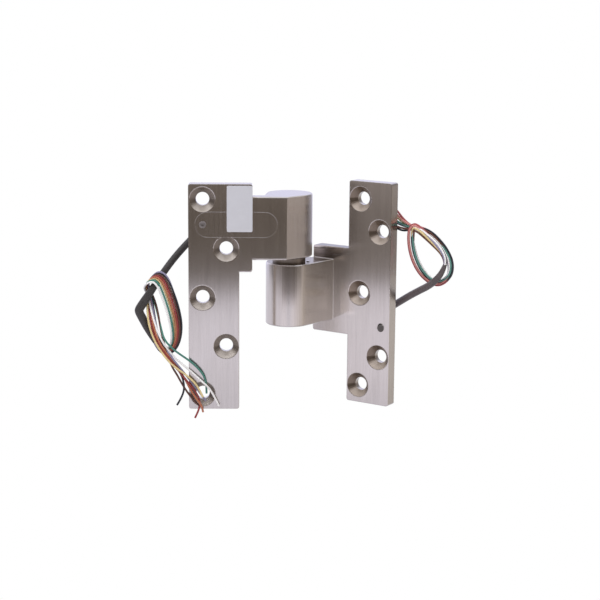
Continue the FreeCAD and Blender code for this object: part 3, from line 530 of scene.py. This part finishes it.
# Round the loop: the bundle's middle, the way out of the loop along the leaf and up, and the spread
LOOPS = {
    "door": [
        ((69.4, 11.8, -24.5), (0.86, -0.51), 0.35), ((67.8, 12, -27.2), (0.6, -0.8), 0.6),
        ((64.6, 12.4, -29.6), (0, -1), 0.9), ((60.8, 12.8, -28.2), (-0.6, -0.8), 1.1),
        ((58.4, 13.2, -23), (-0.95, -0.3), 1.3), ((58.2, 13.6, -14.6), (-1, 0), 1.8),
        ((60, 14.2, -5.6), (-0.96, 0.2), 2.0), ((62.6, 14.8, 2.6), (-0.93, 0.37), 2.0),
        ((65, 14.8, 8.6), (-0.8, 0.6), 2.1), ((68.2, 13.7, 10.8), (-0.65, 0.76), 2.0),
        ((71.8, 11.4, 8.8), (-0.65, 0.76), 2.0), ((74, 7.6, 4.6), (-0.6, 0.8), 1.3),
        ((72.8, 6.8, 1), (-0.8, 0.4), 0.9), ((71.6, 8.2, -3.4), (-1, 0), 1.1),
        ((70.6, 12, -9), (-1, 0), 1.6), ((69.3, 15, -15.4), (-1, 0.1), 1.7),
        ((66.6, 16.8, -23.4), (-0.85, 0.5), 1.4),
    ],
    "jamb": [
        ((76.6, 28.6, 18.4), (0.97, -0.2), 0.35), ((76.9, 28.5, 20.9), (1, 0.1), 0.55),
        ((74.9, 28.2, 25.1), (0.8, 0.6), 0.7), ((71, 27.4, 29.2), (0.65, 0.76), 0.8),
        ((67.1, 26.6, 32.8), (0.65, 0.76), 0.85), ((63.4, 26, 36), (0.55, 0.84), 0.9),
        ((59.8, 25.8, 37.6), (0, 1), 1.0), ((57.6, 26.4, 34.8), (-0.85, 0.5), 1.1),
        ((57, 27.4, 29.9), (-1, 0), 1.15), ((57.2, 28.8, 24), (-0.97, -0.2), 1.2),
        ((58.3, 30.6, 18.2), (-0.93, -0.36), 1.2), ((60.4, 32.6, 13), (-0.87, -0.5), 1.2),
        ((64, 34.2, 8.8), (-0.6, -0.8), 1.1), ((69.6, 34.2, 7), (0.1, -1), 1.1),
        ((75.2, 32.6, 9.6), (0.7, -0.7), 1.1), ((78.6, 31.2, 14), (0.97, -0.2), 1.1),
        ((78.6, 30.6, 20), (0.97, 0.2), 1.1), ((75.8, 30.2, 25.6), (0.8, 0.6), 1.1),
        ((71.4, 30.2, 30.4), (0.65, 0.76), 1.0), ((66.8, 30.2, 34), (0.45, 0.89), 0.9),
        ((61.6, 30.2, 35.4), (0.1, 1), 0.8),
    ],
}
# Each wire's place in the bundle, out of the loop and towards the viewer, where the loop has these points
PLACED_AT = {"door": (0, 4, 10, 13, 16), "jamb": (0, 3, 6, 9, 13, 16, 20)}
PLACED = {
    "door": {
        "black": ((1.0, 0.3), (1.7, 0.2), (1.2, 0.0), (0.7, -0.5), (0.3, -0.3)),
        "brown": ((0.2, -1.0), (1.15, 0.5), (0.75, 0.1), (2.0, 0.3), (1.4, 0.2)),
        "red": ((0.9, -0.6), (0.6, 0.5), (0.3, 0.1), (-0.9, -0.3), (-0.9, -0.2)),
        "orange": ((-0.2, 0.2), (0.05, 0.5), (-0.15, 0.2), (-0.2, 0.3), (-0.3, 0.5)),
        "yellow": ((-0.6, -0.7), (-0.5, -0.5), (-0.6, -0.1), (-1.5, 0.5), (-1.5, 0.6)),
        "violet": ((0.5, 0.9), (1.2, -0.5), (1.7, 0.3), (0.3, 0.4), (0.5, -0.6)),
        "green": ((-0.7, 0.8), (-1.05, 0.2), (-1.1, 0.2), (1.5, -0.3), (1.8, 0.5)),
        "white": ((-1.0, 0.1), (-1.6, 0.4), (-1.7, 0.1), (-0.6, 0.8), (0.9, 0.7)),
    },
    "jamb": {
        "black": (
            (1.0, 0.3), (0.9, -0.4), (-0.5, -0.4), (-0.5, 0.2), (0.4, -0.4), (1.6, 0.5), (0.9, 0.8),
        ),
        "brown": (
            (-0.9, 0.2), (-2.0, 0.3), (-2.5, 0.5), (-0.4, -0.8), (0.0, -0.8), (0.7, -0.2), (0.2, 1.4),
        ),
        "red": (
            (0.3, -0.9), (0.1, -0.9), (1.2, 0.3), (1.4, 0.2), (1.4, 0.3), (0.2, -0.9), (0.3, -0.6),
        ),
        "orange": (
            (0.9, -0.4), (-0.7, -0.7), (0.5, 0.9), (0.55, 0.9), (0.7, 0.6), (-0.6, -0.8), (0.9, -0.4),
        ),
        "yellow": (
            (-0.5, -0.7), (-0.6, 0.9), (-1.0, 0.9), (-0.2, -0.9), (-1.0, -0.7), (0.7, -1.0), (-0.5, -1.0),
        ),
        "violet": (
            (-0.3, 0.9), (0.2, 0.9), (0.0, -0.9), (0.2, -0.9), (-0.2, 0.0), (-1.0, 0.4), (-1.0, -0.4),
        ),
        "green": (
            (0.2, 0.1), (0.5, -0.2), (-1.0, -0.4), (-1.0, 0.4), (-0.8, 0.5), (0.8, 0.6), (-0.4, 0.0),
        ),
        "white": (
            (0.5, 1.0), (1.2, 0.3), (-0.5, 0.5), (-1.2, -0.5), (-1.2, -0.2), (-0.1, 0.9), (-0.9, 0.5),
        ),
    },
}
# Each wire's own last points
TAILS = {
    "door": {
        "black": [
            (58.3, 17.2, -35.8), (54.9, 17.2, -41.6), (54, 17.2, -47.5), (55.3, 17.2, -52.3),
            (57.9, 17.2, -56.6),
        ],
        "brown": [
            (60.9, 17.2, -35.4), (57.8, 17.2, -40.4), (55.3, 17.2, -45.2), (52.7, 17.2, -49.5),
            (49.6, 17.2, -53.6), (46, 17.2, -57.4),
        ],
        "red": [
            (60.2, 18.2, -34.4), (56.4, 18.2, -38.6), (52.8, 18, -43.4), (48.8, 17.4, -48.6),
            (46.1, 17.2, -53.4), (46, 17.2, -58.2), (48.6, 17.4, -63.4),
        ],
        "orange": [
            (60.4, 17.2, -32.6), (56.6, 17.2, -37.6), (53.4, 17.4, -43.2), (50.6, 17.8, -48.8),
            (47.4, 18.4, -53.6), (45, 18.2, -56.6), (44.4, 17.6, -60.2),
        ],
        "yellow": [
            (62.3, 18.6, -32.8), (58.2, 18.8, -36.5), (53.6, 18.8, -39.7), (50, 18.8, -42.8),
            (46.7, 18.6, -46.8), (44.4, 18.6, -52),
        ],
        "violet": [
            (60.3, 17.8, -31.4), (56.2, 17.7, -36.6), (52.6, 17.7, -41.2), (49, 17.7, -45.8),
            (46, 17.7, -49.9), (42.9, 17.7, -54.2),
        ],
        "green": [
            (59.2, 18.6, -27), (55.6, 18.6, -29.6), (51, 18.6, -32.8), (46.9, 18.6, -36.5),
            (43.8, 18, -40.7), (42.6, 17.4, -45.5), (42.6, 17.2, -50.3),
        ],
        "white": [
            (59.8, 17.2, -30.5), (55.7, 17.4, -34.2), (51.1, 17.8, -37.9), (46, 18.4, -42.7),
            (41.8, 18.6, -46.4), (38.7, 18.4, -51.2), (36.1, 18.2, -56.8),
        ],
    },
    "jamb": {
        "black": [(55, 29.8, 34.2), (51.1, 29.4, 33.4), (47.5, 29, 34.6), (44.4, 28.6, 36)],
        "brown": [(55, 29.2, 34.8), (51.2, 28.9, 34.8), (47.4, 28.6, 35.7), (44.2, 28.4, 36.6)],
        "red": [(55.6, 29.8, 36.6), (51.6, 29.4, 39.4), (48.2, 29, 43.2), (45.6, 28.4, 46.2)],
        "orange": [(55.4, 29.2, 36.8), (51.2, 28.8, 39), (47.6, 28.6, 42), (45.4, 28.2, 44.6)],
        "yellow": [(55.2, 30.8, 35.8), (51.2, 30.9, 37), (47.4, 30.8, 39.4), (44.8, 30.6, 41.6)],
        "violet": [(55.2, 30.4, 35.2), (51.2, 30.4, 35.8), (47.4, 30.4, 36.8), (44.4, 30.2, 38)],
        "green": [(55.2, 29.6, 35.6), (51.2, 29.4, 36.6), (47.4, 29.2, 38.4), (44.6, 29, 40)],
        "white": [(55.4, 30.2, 36.2), (51.4, 30.2, 38), (47.6, 30, 41), (45.2, 29.6, 43.4)],
    },
}
SLEEVE_WIDTHS = {
    "door": ((9, 1.1), (10, 1.25), (11, 1.25), (12, 1.2), (13, 1.2), (14, 0.95), (15, 0.55)),
    "jamb": ((-3, 0.95), (-2, 0.8), (-1, 0.56)),
}


def curve_piece(name, body, points, width, widths=()):
    """A round cord on one smooth spline, on its body; widths scales its first or last points."""
    data = bpy.data.curves.new(name, "CURVE")
    data.dimensions = "3D"
    data.bevel_depth = 1.0
    data.bevel_resolution = 4
    data.resolution_u = 10
    data.use_fill_caps = True
    spline = data.splines.new("NURBS")
    spline.points.add(len(points) - 1)
    for item, point in zip(spline.points, points):
        item.co = (*place(body, point), 1.0)
        item.radius = width * MM / 2
    for index, share in widths:
        spline.points[index].radius *= share
    spline.order_u = 3
    spline.use_endpoint_u = True
    piece = bpy.data.objects.new(name, data)
    bpy.context.scene.collection.objects.link(piece)
    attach(piece, body)
    return piece


def place_in_bundle(side, colour, index):
    """A wire's place across the bundle at one point of the loop, between the places listed."""
    marks = PLACED_AT[side]
    spots = PLACED[side][colour]
    for before, after, first, second in zip(marks, marks[1:], spots, spots[1:]):
        if index <= after:
            share = (index - before) / (after - before)
            return tuple(a + (b - a) * share for a, b in zip(first, second))
    return spots[-1]


def wire_points(side, colour):
    """A wire's points: round the loop beside the others, then its own end."""
    points = []
    for index, ((x, y, z), (way_x, way_z), spread) in enumerate(LOOPS[side]):
        out, front = place_in_bundle(side, colour, index)
        out *= spread * WIRE_WIDTH
        forward = front * min(spread, 1.0) * WIRE_WIDTH * FRONT[side]
        points.append((x + out * way_x, y + forward, z + out * way_z))
    return points + TAILS[side][colour]


def make_harness(side, sleeve_finish, wire_finish):
    """One leaf's sleeve and its eight wires, each a cord from the sleeve to its own end."""
    body = BODY[side]
    route = SLEEVES[side]
    sleeve = curve_piece(f"{side}_sleeve_tube", body, route, SLEEVE_WIDTH, SLEEVE_WIDTHS[side])
    sleeve.data.materials.append(sleeve_finish)
    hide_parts(f"{side}_sleeve")
    for colour in WIRE_COLOURS:
        points = wire_points(side, colour)
        wire = curve_piece(f"{side}_lead_{colour}", body, points, WIRE_WIDTH)
        wire.data.materials.append(wire_finish[colour])
        replaced = [f"{side}_wire_{colour}"]
        if colour == "red":
            replaced.append(f"{side}_wire_hank")
        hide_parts(*replaced)


def ringed_piece(name, body, rings, material):
    """A closed form through rings of a leaf's own points, on its body."""
    mesh = bpy.data.meshes.new(name)
    form = bmesh.new()
    loops = [[form.verts.new(place(body, point)) for point in ring] for ring in rings]
    for lower, upper in zip(loops, loops[1:]):
        for index in range(len(lower)):
            after = (index + 1) % len(lower)
            form.faces.new((lower[index], lower[after], upper[after], upper[index]))
    form.faces.new(loops[-1])
    form.faces.new(list(reversed(loops[0])))
    bmesh.ops.recalc_face_normals(form, faces=form.faces)
    form.to_mesh(mesh)
    form.free()
    mesh.materials.append(material)
    piece = bpy.data.objects.new(name, mesh)
    bpy.context.scene.collection.objects.link(piece)
    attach(piece, body)
    return piece


# Label, in millimetres on the door leaf: out from the pivot and up
LABEL_U = (19.0, 32.1)
LABEL_Z = (34.2, 57.9)
LABEL_THICK = 0.12
LABEL_CORNER = 0.8
LABEL_STEPS = 6
# How far each layer of the film lies off the plate, and how far its edge is drawn in
LABEL_LAYERS = ((0.0, 0.0), (LABEL_THICK * 0.7, 0.0), (LABEL_THICK, 0.05))


def label_outline():
    """The label's edge, with round corners."""
    low_u, high_u = LABEL_U[0] + LABEL_CORNER, LABEL_U[1] - LABEL_CORNER
    low_z, high_z = LABEL_Z[0] + LABEL_CORNER, LABEL_Z[1] - LABEL_CORNER
    outline = []
    corners = ((high_u, high_z, 0), (low_u, high_z, 90), (low_u, low_z, 180), (high_u, low_z, 270))
    for u, z, start in corners:
        for step in range(LABEL_STEPS + 1):
            angle = math.radians(start + 90.0 * step / LABEL_STEPS)
            outline.append((u + LABEL_CORNER * math.cos(angle), z + LABEL_CORNER * math.sin(angle)))
    return outline


def make_label(material):
    """The blank certification label: a thin film with round corners on the door leaf's front."""
    mid_u = sum(LABEL_U) / 2
    mid_z = sum(LABEL_Z) / 2
    rings = []
    for lift, inward in LABEL_LAYERS:
        ring = []
        for u, z in label_outline():
            drawn_u = u + (inward if u < mid_u else -inward)
            drawn_z = z + (inward if z < mid_z else -inward)
            ring.append((drawn_u, PLATE_FRONT["door"] + lift, drawn_z))
        rings.append(ring)
    piece = ringed_piece("blank_label", "door_side", rings, material)


# Frame leaf's cover screw, in millimetres on the frame leaf
HEAD_AT = (44.5, -17.35)
HEAD_RADIUS = 1.95
HEAD_FRONT = 19.48
HEAD_BACK = 19.66
HEAD_SIDES = 48
# Depth and radius of each ring of the head, from its back to the middle of its front
HEAD_RINGS = (
    (HEAD_BACK, HEAD_RADIUS), (HEAD_FRONT + 0.06, HEAD_RADIUS), (HEAD_FRONT, HEAD_RADIUS - 0.10),
    (HEAD_FRONT + 0.02, HEAD_RADIUS - 0.6),
)


def make_screw_head(material):
    """The flat screw head seen flush with the frame leaf's front."""
    u, z = HEAD_AT
    angles = [2 * math.pi * step / HEAD_SIDES for step in range(HEAD_SIDES)]
    rings = [
        [(u + radius * math.cos(angle), depth, z + radius * math.sin(angle)) for angle in angles]
        for depth, radius in HEAD_RINGS
    ]
    piece = ringed_piece("cover_screw_head", "frame_side", rings, material)
    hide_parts("jamb_cover_screw")


# Studio, by how far up or down a ray goes
HORIZON = (-0.197, -0.185)
# Colours round the studio by heading, from -180 degrees to 180 degrees: above the table's edge, and below
ABOVE = (
    (-180, (0.80, 0.80, 0.98)), (-165, (0.42, 0.40, 0.42)), (-140, (0.27, 0.235, 0.215)),
    (-100, (0.22, 0.190, 0.174)), (-54, (0.145, 0.120, 0.100)), (-20, (0.18, 0.150, 0.125)),
    (6, (0.20, 0.170, 0.145)), (17, (0.58, 0.51, 0.47)), (28, (0.56, 0.49, 0.45)),
    (40, (0.34, 0.27, 0.19)), (58, (0.22, 0.195, 0.185)), (78, (0.38, 0.37, 0.40)),
    (96, (0.90, 0.90, 1.11)), (150, (0.93, 0.93, 1.16)), (180, (0.80, 0.80, 0.98)),
)
BELOW = (
    (-180, (0.90, 0.88, 0.98)), (-140, (0.95, 0.91, 1.00)), (-92, (1.06, 1.01, 1.10)),
    (-74, (1.12, 1.06, 1.14)), (-56, (0.92, 0.90, 1.005)), (-40, (1.10, 1.04, 1.12)),
    (-10, (0.92, 0.85, 0.86)), (30, (0.70, 0.62, 0.56)), (50, (0.58, 0.53, 0.50)),
    (70, (0.80, 0.78, 0.79)), (110, (0.98, 0.97, 1.05)), (180, (0.90, 0.88, 0.98)),
)
# The table's far edge runs lower towards the door leaf's own reflection
TABLE_SLANT = (0.0043, -0.0055, 1.0)
TABLE_LIFT = 0.0069
# Light band low on the backdrop: where it comes in and where it goes out
GLOW_START = (-0.146, -0.122)
GLOW_END = (0.060, -0.080)
GLOW_TONE = (1.42, 1.44, 1.48)
NEAR_TABLE = (-0.236, -0.262)
NEAR_TONE = (0.84, 0.84, 0.84)
CEILING_HEIGHT = (0.50, 0.80)
CEILING_TONE = (1.10, 1.10, 1.16)
WHITE = (1.0, 1.0, 1.0, 1.0)


def by_heading(tree, heading, colours):
    """Colours round the studio on a heading socket."""
    return ramp(tree, heading, [((degrees + 180) / 360.0, colour) for degrees, colour in colours])


def white_when_seen(tree, shader, white):
    """A white shader for camera and transmission rays, and the other one for all other rays."""
    path = tree.nodes.new("ShaderNodeLightPath")
    seen = arithmetic(tree, "MAXIMUM", path.outputs["Is Camera Ray"], path.outputs["Is Transmission Ray"])
    choice = tree.nodes.new("ShaderNodeMixShader")
    tree.links.new(seen, choice.inputs["Fac"])
    tree.links.new(shader, choice.inputs[1])
    tree.links.new(white, choice.inputs[2])
    return choice.outputs[0]


def make_world():
    """A pale table, a dark room in front and a white backdrop behind, all of it white to the camera."""
    world = bpy.data.worlds.new("studio")
    bpy.context.scene.world = world
    world.use_nodes = True
    tree = world.node_tree
    tree.nodes.clear()
    link = tree.links.new
    coordinates = tree.nodes.new("ShaderNodeTexCoord")
    parts = tree.nodes.new("ShaderNodeSeparateXYZ")
    link(coordinates.outputs["Generated"], parts.inputs[0])
    height = parts.outputs["Z"]
    heading = made(tree, "ShaderNodeMapRange")
    link(arithmetic(tree, "ARCTAN2", parts.outputs["Y"], parts.outputs["X"]), heading.inputs["Value"])
    heading.inputs["From Min"].default_value = -math.pi
    heading.inputs["From Max"].default_value = math.pi
    near = smooth(tree, height, *NEAR_TABLE)
    table = tinted(tree, by_heading(tree, heading.outputs["Result"], BELOW), near, NEAR_TONE)
    glow = product(tree, smooth(tree, height, *GLOW_START), smooth(tree, height, *GLOW_END))
    backdrop = tinted(tree, by_heading(tree, heading.outputs["Result"], ABOVE), glow, GLOW_TONE)
    slant = along_way(tree, coordinates.outputs["Generated"], TABLE_SLANT)
    edge = made(tree, "ShaderNodeMix", data_type="RGBA")
    link(smooth(tree, arithmetic(tree, "SUBTRACT", slant, TABLE_LIFT), *HORIZON), edge.inputs[0])
    link(table, edge.inputs[6])
    link(backdrop, edge.inputs[7])
    ceiling = made(tree, "ShaderNodeMix", data_type="RGBA")
    link(smooth(tree, height, *CEILING_HEIGHT), ceiling.inputs[0])
    link(edge.outputs[2], ceiling.inputs[6])
    ceiling.inputs[7].default_value = (*CEILING_TONE, 1.0)
    room = tree.nodes.new("ShaderNodeBackground")
    link(ceiling.outputs[2], room.inputs["Color"])
    white = tree.nodes.new("ShaderNodeBackground")
    white.inputs["Color"].default_value = WHITE
    output = tree.nodes.new("ShaderNodeOutputWorld")
    link(white_when_seen(tree, room.outputs[0], white.outputs[0]), output.inputs["Surface"])


# Lamps: place, size in metres and power in watts, all aimed at the middle
LAMPS = {"key": ((-0.35, -0.75, 0.85), 0.6, 7.0), "side": ((0.9, -0.3, 0.6), 0.5, 3.0)}


def make_lamp(name, at, size, power):
    """A soft square lamp."""
    data = bpy.data.lights.new(name, "AREA")
    data.shape = "SQUARE"
    data.size = size
    data.energy = power
    lamp = bpy.data.objects.new(name, data)
    bpy.context.scene.collection.objects.link(lamp)
    lamp.location = at
    lamp.rotation_mode = "QUATERNION"
    lamp.rotation_quaternion = (-Vector(at)).to_track_quat("-Z", "Y")
    lamp.visible_glossy = False


# Floor
FLOOR_SIZE = 3.0
FLOOR_LEVEL = -0.066
FLOOR_SIDES = 96
FLOOR_COLOUR = (0.86, 0.86, 0.86, 1.0)
FLOOR_ROUGH = 0.8


def make_floor():
    """A pale round floor, white to the camera."""
    mesh = bpy.data.meshes.new("floor")
    form = bmesh.new()
    bmesh.ops.create_circle(form, cap_ends=True, segments=FLOOR_SIDES, radius=FLOOR_SIZE)
    form.to_mesh(mesh)
    form.free()
    floor = bpy.data.objects.new("floor", mesh)
    floor.location = (0.0, 0.0, FLOOR_LEVEL)
    bpy.context.scene.collection.objects.link(floor)
    material, tree, shader = new_material("pale_floor")
    shader.inputs["Base Color"].default_value = FLOOR_COLOUR
    shader.inputs["Roughness"].default_value = FLOOR_ROUGH
    glow = tree.nodes.new("ShaderNodeEmission")
    glow.inputs["Color"].default_value = WHITE
    output = next(item for item in tree.nodes if item.type == "OUTPUT_MATERIAL")
    surface = white_when_seen(tree, shader.outputs["BSDF"], glow.outputs[0])
    tree.links.new(surface, output.inputs["Surface"])
    mesh.materials.append(material)
    floor.visible_glossy = False
    floor.visible_diffuse = False
    floor.visible_shadow = False


# Roughness of the leaves' steel, and the radius of their worn edges in millimetres
LEAF_ROUGH = 0.135
LEAF_EDGE = 0.75


def dress_cad(core):
    """Gives every CAD node that stays its material; core is for the bundles inside the leaves."""
    dress(brushed_steel("door_leaf_steel", STEEL, LEAF_ROUGH, LEAF_EDGE, "door"), "door_leaf")
    dress(brushed_steel("frame_leaf_steel", STEEL, LEAF_ROUGH, LEAF_EDGE, "jamb"), "jamb_leaf")
    cover = brushed_steel("cover_steel", (0.62, 0.59, 0.57), 0.145, 0.1)
    dress(cover, "jamb_channel_cover", "door_channel_cover")
    dress(turned_metal("screw_steel", (0.36, 0.34, 0.33), 0.42), "door_cover_screw")
    dress(turned_metal("pin_metal", (0.66, 0.66, 0.66), 0.18), "pivot_pin", "bore_plug", "locating_pin")
    dress(turned_metal("bronze_metal", (0.52, 0.36, 0.18), 0.28), "upper_bushing")
    dress(turned_metal("washer_metal", (0.27, 0.235, 0.205), 0.35), "thrust_washer")
    rubber = soft_plastic("grommet_rubber", (0.018, 0.018, 0.019), 0.60, 0.2)
    dress(rubber, "jamb_grommet", "door_grommet")
    dress(core, "jamb_wire_core", "door_wire_core")


def main():
    """Camera, cords, finishes and studio, in that order."""
    bpy.context.scene.view_settings.view_transform = "Standard"
    make_camera()
    sleeve = soft_plastic("sleeve_black", (0.050, 0.047, 0.046), 0.45, 0.25)
    wires = insulation("insulation", WIRE_COLOURS)
    make_harness("door", sleeve, wires)
    paler = insulation("insulation_pale", PALER)
    # A lighter, browner copy of the sleeve finish, for the frame leaf's sleeve
    lighter_sleeve = soft_plastic("sleeve_lighter", (0.105, 0.088, 0.088), 0.40, 0.25)
    make_harness("jamb", lighter_sleeve, {**wires, **paler})
    dress_cad(wires["brown"])
    make_label(soft_plastic("label_film", (0.62, 0.635, 0.68), 0.35, vary=0.03, grain=500.0, relief=0.05))
    make_screw_head(turned_metal("screw_head_steel", (0.20, 0.19, 0.18), 0.45))
    make_world()
    for name, (at, size, power) in LAMPS.items():
        make_lamp(name, at, size, power)
    make_floor()


main()

bpy.context.view_layer.update()
